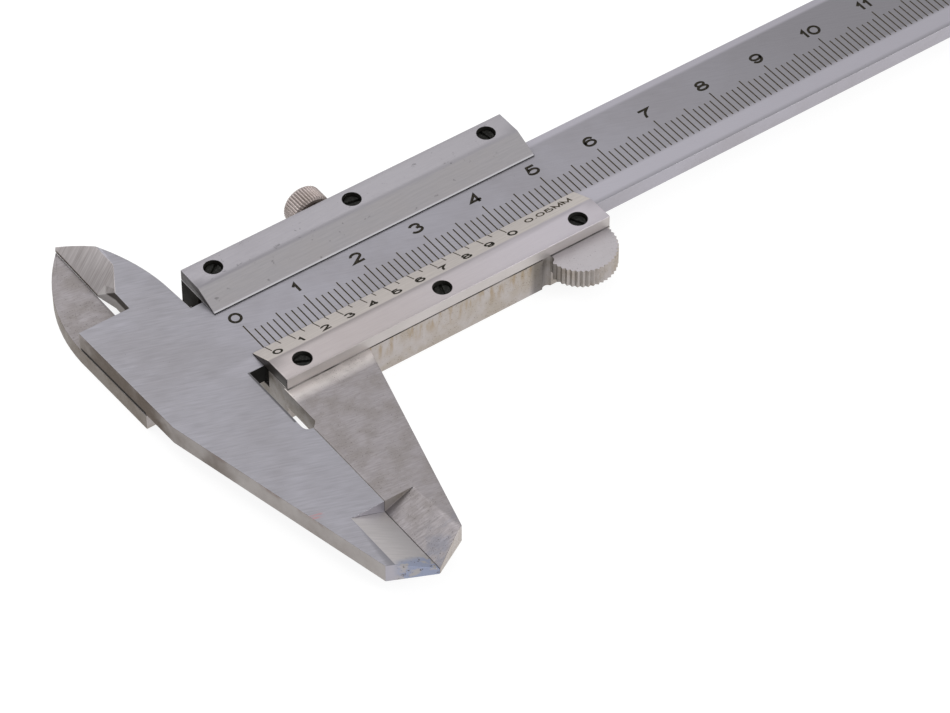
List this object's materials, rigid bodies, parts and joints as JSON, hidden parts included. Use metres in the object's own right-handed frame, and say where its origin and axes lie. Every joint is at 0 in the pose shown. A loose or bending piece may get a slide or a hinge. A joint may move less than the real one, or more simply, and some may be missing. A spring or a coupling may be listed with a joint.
{
  "type": "vernier caliper",
  "caption": "Steel vernier caliper with outside jaws, crossed inside jaws, depth rod, screwed slider plates, lock screw and knurled thumb rest.",
  "frame": {"origin": "middle of the closed caliper's box in plan, at the height of the slider's back face, which it rests on", "axes": "+X along the beam from the jaws to its free end, +Y across the beam towards the inside jaws, +Z out of the scale face"},
  "size_m": [0.2276, 0.08, 0.0076],
  "materials": {
    "beam_steel": "satin ground, matt around the scale",
    "slider_steel": "satin ground, slightly pitted and stained",
    "plate_steel": "satin ground, bright flat band",
    "black_screw": "blackened",
    "knurled_steel": "straight knurl, nickel-plated",
    "spring_bronze": "rolled strip"
  },
  "bodies": {
    "beam": {"beam_with_fixed_jaws": "beam_steel", "end_stop": "plate_steel", "end_stop_screw_lower": "black_screw", "end_stop_screw_upper": "black_screw"},
    "slider": {"slider_body": "slider_steel", "vernier_plate": "plate_steel", "guide_plate": "plate_steel", "vernier_plate_screw_left": "black_screw", "vernier_plate_screw_middle": "black_screw", "vernier_plate_screw_right": "black_screw", "guide_plate_screw_left": "black_screw", "guide_plate_screw_middle": "black_screw", "guide_plate_screw_right": "black_screw", "gib_screw_left": "black_screw", "gib_screw_right": "black_screw", "depth_rod": "beam_steel", "depth_rod_rivet_left": "slider_steel", "depth_rod_rivet_right": "slider_steel"},
    "lock_screw": {"lock_screw": "knurled_steel"},
    "gib": {"gib_strip": "spring_bronze"}
  },
  "joints": [
    {"name": "slider_travel", "type": "slide", "parent": "beam", "child": "slider", "axis": [1, 0, 0], "range_m": [0, 0.15]},
    {"name": "lock_turn", "type": "hinge", "parent": "slider", "child": "lock_screw", "pos_m": [-0.07425, 0.0266, 0.00417], "axis": [0, -1, 0], "range_deg": [0, 90]},
    {"name": "gib_press", "type": "slide", "parent": "slider", "child": "gib", "axis": [0, -1, 0], "range_m": [0, 0.000125]}
  ],
  "couplings": [
    {"joint": "lock_turn", "follows": "gib_press", "rad_per_m": 12566}
  ]
}
